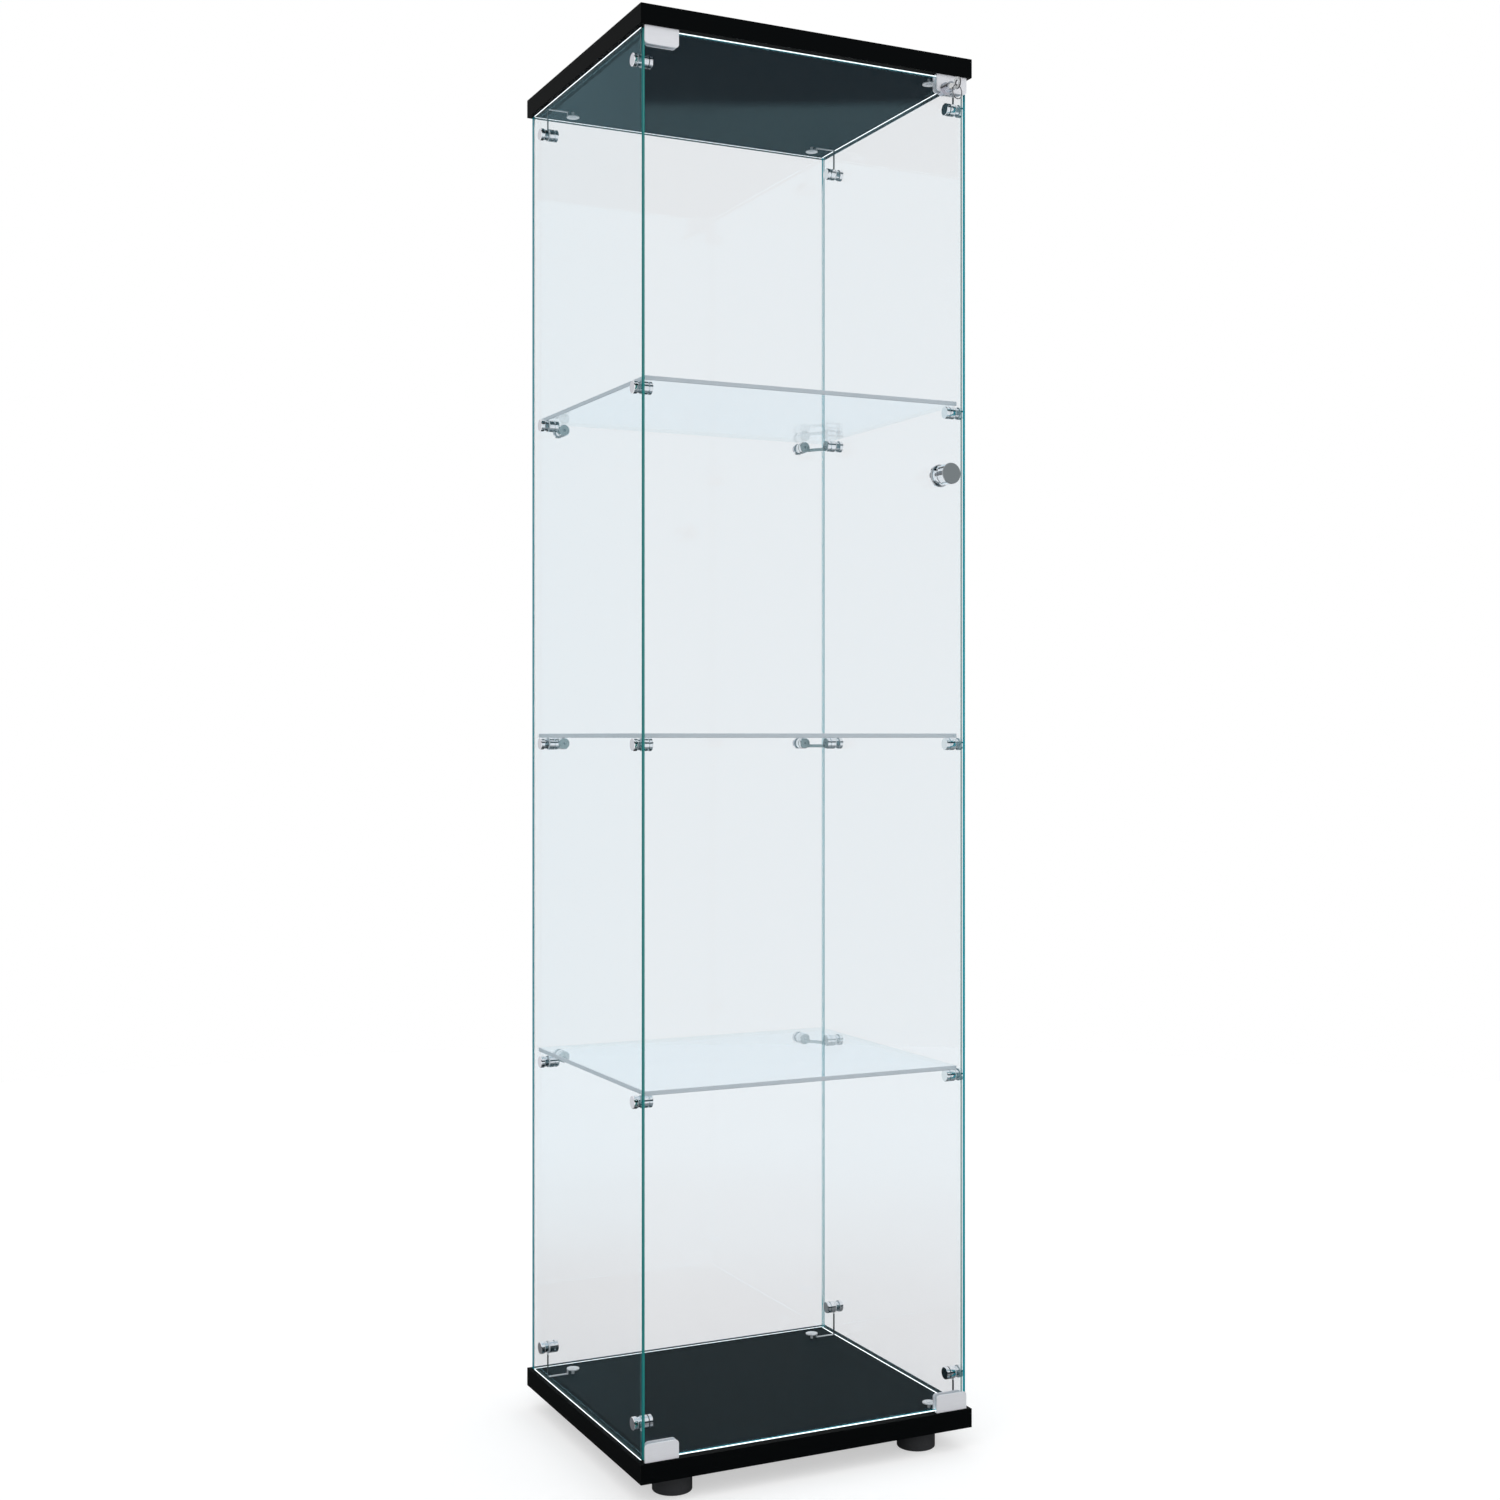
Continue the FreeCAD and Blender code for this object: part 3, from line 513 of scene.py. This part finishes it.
def painted_reflection_mask(tree, coordinates, axis, start, end, by_boards):
    """1 where the normal's part lies between start and end, if wanted only in front near the boards."""
    along = part_of(tree, coordinates.outputs["Normal"], axis)
    above = maths(tree, "GREATER_THAN", along, start)
    mask = maths(tree, "MULTIPLY", above, maths(tree, "LESS_THAN", along, end))
    if by_boards:
        where = coordinates.outputs["Object"]
        in_front = maths(tree, "LESS_THAN", part_of(tree, where, "Y"), 0.0)
        near = maths(tree, "MULTIPLY", in_front, height_mask(tree, where, BOARD_ZONE))
        mask = maths(tree, "MULTIPLY", mask, near)
    return mask


print("a flat end is within", round(math.degrees(math.acos(FLAT))), "degrees of its axis")

# %% [markdown]
# ## Polished metal
# Plating is metallic and nearly smooth, and soft marks make it a little rougher and duller in places.
# The painted reflections come on top of that, the later ones over the earlier ones.

# %% Polished materials
BRIGHT = colour(238, 240, 243)
DULL = colour(222, 226, 230)


def polished(name, tone, marked, rough, rules=(), metal=1.0):
    """Polished plating that soft marks make rougher; each rule paints a reflection tone on the faces
    that look one way.
    """
    made, tree, shader = start_material(name)
    coordinates = tree.nodes.new("ShaderNodeTexCoord")
    marks = place_group(tree, SMUDGE, coordinates.outputs["Object"], Scale=120.0, Start=0.42, Slope=2.0)
    shade = mix_colour(tree, marks.outputs["Mask"], tone, marked)
    for axis, start, end, rule_tone, by_boards in rules:
        mask = painted_reflection_mask(tree, coordinates, axis, start, end, by_boards)
        shade = mix_colour(tree, mask, shade, rule_tone)
    tree.links.new(shade, shader.inputs["Base Color"])
    swing = maths(tree, "MULTIPLY", marks.outputs["Mask"], rough)
    tree.links.new(maths(tree, "ADD", swing, rough), shader.inputs["Roughness"])
    shader.inputs["Metallic"].default_value = metal
    return made


print("bright metal as light:", round(BRIGHT[0], 3))

# %% [markdown]
# ## Chrome clamps
# The walls and the shelves are held by round chrome clamps, and their tones are painted reflections. A
# dark line is painted along each clamp a little above its middle, and the undersides are painted dark as
# if they mirrored a dark board. The flat ends differ: the outer caps on the left are painted a cool grey
# and the ends inside pale, but in front near the boards the ends that face left are painted dark, a
# painted reflection of the dark corner. The studs' ends that face the front are painted a darker grey.

# %% Clamps
CLAMP_ROUGH = 0.04
# painted reflections: a dark line a little above the middle, and dark undersides
painted_round_reflections = [faces("Z", 0.12, 0.36, colour(44, 50, 52)),
               faces("Z", BELOW_ALL, -0.82, colour(64, 72, 74))]
# painted reflections on the flat ends of the outer caps, the inner ends and the studs
painted_outer_reflections = painted_round_reflections + [flat_ends("X", -1, colour(190, 192, 199))]
painted_inner_reflections = painted_round_reflections + [flat_ends("X", -1, colour(226, 232, 234)), flat_ends("X", 1, DULL),
                             flat_ends("X", -1, colour(52, 62, 64), by_boards=True)]
painted_pin_reflections = painted_outer_reflections + [flat_ends("Y", -1, colour(104, 118, 122))]
chrome = polished("chrome", BRIGHT, DULL, CLAMP_ROUGH, painted_outer_reflections)
inner_chrome = polished("inner_chrome", BRIGHT, DULL, CLAMP_ROUGH, painted_inner_reflections)
pin_chrome = polished("pin_chrome", BRIGHT, DULL, CLAMP_ROUGH, painted_pin_reflections)
barrels = ["base_clamp_barrels", "top_clamp_barrels"]
barrels += [shelf_level + "_shelf_clamp_barrels" for shelf_level in SHELVES]
dress(chrome, "clamp_outer_caps")
dress(pin_chrome, "clamp_studs")
dress(inner_chrome, "clamp_end_caps", *barrels)
print("clamps", chrome.name, inner_chrome.name, pin_chrome.name)

# %% [markdown]
# ## Strips and straps
# The bent strips and the corner straps are plated sheet. A strip's sole and pad keep the pale plating
# tone, and its upright leg, flat against the glass, is painted dark, a painted reflection of the dark
# board, placed by where the leg is. The straps are duller and carry a painted green tint that stands in
# for the glass around them.

# %% Strips and straps
LEG_FROM_MIDDLE = 0.1984
LEG_REACH = 0.7525
STRIP_DRIFT = 0.08
STRIP_METAL = 0.2


def strip_material(name, light, dark):
    """Plated strip with a painted dark reflection on its leg: beyond LEG_FROM_MIDDLE sideways and
    LEG_REACH in height.
    """
    made, tree, shader = start_material(name)
    where = tree.nodes.new("ShaderNodeTexCoord").outputs["Object"]
    grain = place_group(tree, GRAIN, where, Scale=500.0, Stretch=ALL_WAYS, Middle=0.3, Spread=0.16)
    sideways = maths(tree, "ABSOLUTE", part_of(tree, where, "X"))
    beside = maths(tree, "GREATER_THAN", sideways, LEG_FROM_MIDDLE)
    # painted reflection: the upright leg is painted dark where it faces the board
    leg = maths(tree, "MULTIPLY", beside, height_mask(tree, where, LEG_REACH))
    drift = maths(tree, "MULTIPLY", grain.outputs["Height"], STRIP_DRIFT)
    tone = mix_colour(tree, drift, mix_colour(tree, leg, light, dark), DULL)
    tree.links.new(tone, shader.inputs["Base Color"])
    tree.links.new(grain.outputs["Roughness"], shader.inputs["Roughness"])
    shader.inputs["Metallic"].default_value = STRIP_METAL
    return made


# the second tone is the leg's painted reflection of the dark board
strip_steel = strip_material("strip_steel", colour(228, 232, 235), colour(12, 18, 20))
# painted reflection: the green in the straps' tones stands in for the glass around them
strap_steel = grained("strap_steel", colour(134, 149, 151), colour(158, 170, 172), scale=500.0,
                      middle=0.35, spread=0.2, bump=0.1, stretch=(1.0, 1.0, 0.08), Metallic=1.0)
straps = [f"{shelf_level}_shelf_{side}_strap" for shelf_level in SHELVES for side in SIDES]
brackets = [f"{board}_bracket_{end}_{side}" for board in ("base", "top")
            for end in ("front", "rear") for side in SIDES]
dress(strip_steel, *brackets, "bracket_screws")
dress(strap_steel, *straps)
print("straps", len(straps), "brackets", len(brackets))

# %% [markdown]
# ## Door plates and knob
# The plates at the door's corners are satin: a fine grain along the plate and only a little metal
# shine, which keeps them pale in any light. The knob is polished, with a painted dark glint along its
# upper side. Its flat face was turned on a lathe; its even grey is a painted reflection, and the bevel
# round that face is painted paler, while its underside and left side get painted greys as well.

# %% Plates and knob
# painted reflection: a dark glint, used on the knob and the lock barrel
PAINTED_DARK_GLINT = colour(30, 32, 34)
satin = grained("satin_plate", colour(230, 231, 236), colour(241, 242, 246), scale=900.0,
                middle=0.42, spread=0.14, bump=0.12, stretch=(0.06, 1.0, 1.0), Metallic=0.2)
dress(satin, "lower_hinge_clip", "upper_hinge_clip", "lower_corner_clip", "lock_clip")
# painted reflections on the knob: a dark glint above, greys on the underside, bevel, face and left side
painted_knob_reflections = [faces("Z", 0.44, 0.62, PAINTED_DARK_GLINT), faces("Z", -0.88, -0.8, colour(176, 180, 184)),
              faces("Y", -FLAT, -0.4, colour(160, 164, 168)), flat_ends("Y", -1, colour(118, 125, 128)),
              faces("X", BELOW_ALL, -0.98, colour(120, 123, 127))]
knob_chrome = polished("knob_chrome", BRIGHT, DULL, 0.05, painted_knob_reflections)
dress(knob_chrome, "knob")
print("plates", satin.name, "knob", knob_chrome.name)

# %% [markdown]
# ## Lock and key
# The lock's barrel is polished, with painted reflections: dark on its upper and right flanks and pale on
# its front. The key, the lock's core and its cam are nickel, which is drawn with little metal shine so
# that it stays pale. The key's narrow faces are painted darker than its flat sides, a painted shade, and
# the ring is a duller, darker wire.

# %% Lock and key
PALE_METAL = 0.2
# painted reflections on the lock barrel: dark above and to the right, pale in front
painted_lock_reflections = [faces("Z", 0.0, 0.75, PAINTED_DARK_GLINT), faces("X", 0.2, 0.75, PAINTED_DARK_GLINT),
              flat_ends("Y", -1, colour(214, 214, 220))]
lock_chrome = polished("lock_chrome", colour(190, 190, 197), colour(160, 160, 168), 0.08, painted_lock_reflections)
dress(lock_chrome, "lock_barrel")
nickel = polished("nickel", colour(244, 244, 243), colour(232, 232, 230), 0.2, metal=PALE_METAL)
dress(nickel, "lock_core", "lock_cam")
# painted shade: the key's narrow faces are darker than its flat sides
painted_key_shade = [faces("X", -0.5, 0.5, colour(84, 85, 88))]
key_nickel = polished("key_nickel", colour(246, 246, 246), colour(236, 236, 235), 0.2, painted_key_shade,
                      PALE_METAL)
dress(key_nickel, "key")
ring_wire = polished("ring_wire", colour(112, 113, 115), colour(92, 93, 95), 0.15)
dress(ring_wire, "key_ring")
print("lock", lock_chrome.name, "key", key_nickel.name, "ring", ring_wire.name)

# %% [markdown]
# ## Screws, soft pieces and bushes
# Screws and pivot pins are zinc plated steel with a fine even grain. Gaskets, liners and the washer
# behind the knob are clear soft plastic: milky, a little glossy. The pivot bushes are black moulded
# plastic.

# %% Screws and soft pieces
screw_steel = grained("screw_steel", colour(178, 180, 182), colour(204, 206, 208), scale=800.0,
                      middle=0.35, spread=0.2, bump=0.1, Metallic=1.0)
screws = ["foot_screws", "clip_screws", "cam_screw", "knob_screw"]
dress(screw_steel, *screws, "lower_pivot_pin", "upper_pivot_pin")
soft = grained("clear_soft", colour(196, 202, 205), colour(212, 217, 219), scale=600.0,
               middle=0.4, spread=0.2, bump=0.08)
dress(soft, "clamp_outer_gaskets", "clamp_inner_gaskets", "clip_pads", "knob_washer")
bush = grained("bush_plastic", colour(30, 30, 31), colour(40, 40, 41), scale=700.0,
               middle=0.5, spread=0.2, bump=0.1)
dress(bush, "lower_pivot_bush", "upper_pivot_bush")
print("pieces left without a finish:", sorted(set(nodes) - dressed))

# %% [markdown]
# ## A round floor
# The case stands on a plain floor. A square plane would do, but its corners can come into view from the
# side, so the floor is a disc. It lies a hair below the feet, so that no two faces share a plane.

# %% Floor disc
FLOOR_RADIUS = 3.0
FLOOR_RINGS = 40
FLOOR_SPOKES = 96
FLOOR_DROP = 0.0004


def disc(name, radius, rings, spokes, height):
    """Disc: x = r cos(angle), y = r sin(angle), with r growing as the square of the ring's number."""
    ring = (np.arange(rings + 1) / rings) ** 2 * radius
    angle = np.arange(spokes) / spokes * 2 * math.pi
    x = np.outer(ring, np.cos(angle))
    y = np.outer(ring, np.sin(angle))
    points = np.stack([x, y, np.full_like(x, height)], axis=-1).reshape(-1, 3)
    row, column = np.meshgrid(np.arange(1, rings), np.arange(spokes), indexing="ij")
    after = (column + 1) % spokes
    quads = np.stack([row * spokes + column, (row + 1) * spokes + column,
                      (row + 1) * spokes + after, row * spokes + after], axis=-1).reshape(-1, 4)
    first = np.arange(spokes)
    tips = np.stack([np.zeros(spokes, int), spokes + first, spokes + (first + 1) % spokes], axis=-1)
    mesh = bpy.data.meshes.new(name)
    mesh.from_pydata(points.tolist(), [], quads.tolist() + tips.tolist())
    mesh.validate()
    made = bpy.data.objects.new(name, mesh)
    scene.collection.objects.link(made)
    return made


floor = disc("floor", FLOOR_RADIUS, FLOOR_RINGS, FLOOR_SPOKES, -FLOOR_DROP)
print("floor", FLOOR_RADIUS, "m,", len(floor.data.polygons), "faces")

# %% [markdown]
# ## What different rays see
# A white ground would light the case from all sides if it were simply bright. Blender lets a material
# ask what kind of ray has met it, so the ground can be white to the camera and in mirrors, and plain to
# the light that falls on things. A smooth step fades one look into another without a hard line.

# %% Rays and fades


def seen_by(tree, *kinds):
    """1 for camera rays and the kinds of rays that are named, 0 for the light that falls on things."""
    path = tree.nodes.new("ShaderNodeLightPath")
    seen = path.outputs["Is Camera Ray"]
    for kind in kinds:
        seen = maths(tree, "MAXIMUM", seen, path.outputs[f"Is {kind} Ray"])
    return seen


def ramp(tree, value, start, end):
    """Smooth step from 0 at start to 1 at end."""
    made = tree.nodes.new("ShaderNodeMapRange")
    made.interpolation_type = "SMOOTHSTEP"
    made.inputs["From Min"].default_value = start
    made.inputs["From Max"].default_value = end
    tree.links.new(value, made.inputs["Value"])
    return made.outputs[0]


print("ray helpers:", seen_by.__name__, ramp.__name__)

# %% [markdown]
# ## Floor paint
# The floor is pale and lit like anything else, so it keeps the shadow of the case; what the camera sees
# of it, also through clear sheets and in mirrors, gets some glow, which brings the lit part up to
# white. Close to the case the mirrors see a grey floor instead, as if a grey card lay there: the door
# would otherwise mirror a white floor over the black base board. Seen through the panes the glow is a
# little weaker, so that the far edge of the floor does not show as a step.

# %% Floor paint
FLOOR_TONES = (colour(194, 194, 194), colour(198, 198, 198))
FLOOR_GLOW = 0.52
GLASS_LOSS = 0.035
CARD_TONE = colour(145, 145, 145)
CARD_RADIUS = 0.75
CARD_FADE = 0.6
floor_paint, paint, floor_shader = start_material("floor_paint")
floor_where = paint.nodes.new("ShaderNodeTexCoord").outputs["Object"]
floor_path = paint.nodes.new("ShaderNodeLightPath")
floor_grain = place_group(paint, GRAIN, floor_where, Scale=3.0, Stretch=ALL_WAYS, Middle=0.8, Spread=0.1)
from_middle = paint.nodes.new("ShaderNodeVectorMath")
from_middle.operation = "LENGTH"
paint.links.new(floor_where, from_middle.inputs[0])
outside_card = ramp(paint, from_middle.outputs["Value"], CARD_RADIUS, CARD_RADIUS + CARD_FADE)
on_card = maths(paint, "SUBTRACT", 1.0, outside_card)
card = maths(paint, "MULTIPLY", on_card, floor_path.outputs["Is Glossy Ray"])
floor_tone = mix_colour(paint, floor_grain.outputs["Height"], *FLOOR_TONES)
paint.links.new(mix_colour(paint, card, floor_tone, CARD_TONE), floor_shader.inputs["Base Color"])
paint.links.new(floor_grain.outputs["Roughness"], floor_shader.inputs["Roughness"])
floor_shader.inputs["Specular IOR Level"].default_value = 0.0
floor_shader.inputs["Emission Color"].default_value = WHITE
glowing = maths(paint, "SUBTRACT", seen_by(paint, "Glossy", "Transmission"), card)
behind_glass = maths(paint, "GREATER_THAN", floor_path.outputs["Transparent Depth"], 0.5)
lost = maths(paint, "MULTIPLY", behind_glass, GLASS_LOSS)
floor_glow = maths(paint, "MULTIPLY", glowing, maths(paint, "SUBTRACT", FLOOR_GLOW, lost))
paint.links.new(floor_glow, floor_shader.inputs["Emission Strength"])
floor.data.materials.append(floor_paint)
print("grey card to", CARD_RADIUS, "m, gone at", CARD_RADIUS + CARD_FADE, "m")

# %% [markdown]
# ## Surroundings
# The surroundings are white to the camera and dimmer for the light that falls on the case. Mirrors see
# the white room too, except for one dim band high up to the front right: the door would mirror white in
# front of the whole roof, and the band takes most of that away over its nearer part.

# %% Masks for the surroundings
world = bpy.data.worlds.new("studio")
scene.world = world
world.use_nodes = True
sky = world.node_tree
sky.nodes.clear()
way = sky.nodes.new("ShaderNodeTexCoord").outputs["Generated"]


def towards(direction, start, end):
    """Smooth mask of the part of the surroundings that lies towards a direction, by its cosine."""
    made = sky.nodes.new("ShaderNodeVectorMath")
    made.operation = "DOT_PRODUCT"
    sky.links.new(way, made.inputs[0])
    made.inputs[1].default_value = direction
    return ramp(sky, made.outputs["Value"], start, end)


def band(centre, half, fade):
    """Smooth mask of a level band of the surroundings, heights as the upward part of the direction."""
    away = maths(sky, "ABSOLUTE", maths(sky, "SUBTRACT", part_of(sky, way, "Z"), centre))
    return maths(sky, "SUBTRACT", 1.0, ramp(sky, away, half, half + fade))


print("world", world.name)

# %% [markdown]
# ## Room light
# Two plain backgrounds make the room: one that is seen and one that lights. Which of them a ray gets
# depends on its kind, as on the floor, and only mirrors see the band.

# %% Room
AMBIENT = 0.55
AMBIENT_TINT = (0.97, 0.985, 1.0, 1.0)
BAND = (0.338, 0.032, 0.006)
BAND_TONE = (0.17, 0.22, 0.26, 1.0)
FRONT_RIGHT = (0.434, -0.901, 0.0)
BAND_ENDS = (0.5, 0.7)
mirrored = sky.nodes.new("ShaderNodeLightPath").outputs["Is Glossy Ray"]
screen = maths(sky, "MULTIPLY", towards(FRONT_RIGHT, *BAND_ENDS), mirrored)
room = mix_colour(sky, maths(sky, "MULTIPLY", band(*BAND), screen), WHITE, BAND_TONE)
seen_room = add(sky, "ShaderNodeBackground", Strength=1.0)
sky.links.new(room, seen_room.inputs["Color"])
soft_light = add(sky, "ShaderNodeBackground", Strength=AMBIENT, Color=AMBIENT_TINT)
sky_output = sky.nodes.new("ShaderNodeOutputWorld")
looking = seen_by(sky, "Glossy", "Transmission")
choice = mix_shader(sky, looking, soft_light.outputs[0], seen_room.outputs[0])
sky.links.new(choice, sky_output.inputs["Surface"])
print("ambient", AMBIENT)

# %% [markdown]
# ## Lamps
# Three wide suns light the case evenly from floor to top: the main one from the upper left in front, a
# weaker one from the right and one from above and behind. Being so wide, they leave only a soft shadow,
# but they would also show as pale discs in the panes, so mirrors do not see them.

# %% Lamps


def sun(name, towards_lamp, strength, spread):
    """Distant lamp in a direction; spread is its width as an angle in degrees."""
    data = bpy.data.lights.new(name, "SUN")
    data.energy = strength
    data.angle = math.radians(spread)
    made = bpy.data.objects.new(name, data)
    x, y, z = towards_lamp
    made.rotation_euler = (math.atan2(math.hypot(x, y), z), 0.0, math.atan2(y, x) + math.pi / 2)
    made.visible_glossy = False
    scene.collection.objects.link(made)
    return made


lamps = [
    sun("key_sun", towards_lamp=(-0.5, -0.6, 0.62), strength=0.9, spread=60.0),
    sun("fill_sun", towards_lamp=(0.7, -0.5, 0.5), strength=0.5, spread=60.0),
    sun("top_sun", towards_lamp=(0.1, 0.3, 0.95), strength=0.6, spread=80.0),
]
print("lamps", len(lamps))

# %% [markdown]
# ## Camera
# The camera stands to the left of the case at the height of its middle and looks level, which keeps the
# uprights upright. Its place, turn and lens were found by fitting the corners of both boards. The
# horizon lies a little above the middle of the frame, which is a small shift of the lens.

# %% Camera
IMAGE_SIDE = 1500
FOCAL_PIXELS = 1984.9
HORIZON_ROW = 736.4
CAMERA_TURN = math.radians(25.71)
CAMERA_PLACE = (-1.0350, -2.15575, 0.8356)
SENSOR = 36.0
eye = bpy.data.cameras.new("eye")
eye.sensor_width = SENSOR
eye.lens = FOCAL_PIXELS / IMAGE_SIDE * SENSOR
eye.shift_y = (HORIZON_ROW - IMAGE_SIDE / 2) / IMAGE_SIDE
camera = bpy.data.objects.new("camera", eye)
camera.location = CAMERA_PLACE
camera.rotation_euler = (math.pi / 2, 0.0, -CAMERA_TURN)
scene.collection.objects.link(camera)
scene.camera = camera
print("lens", round(eye.lens, 2), "shift", round(eye.shift_y, 4))
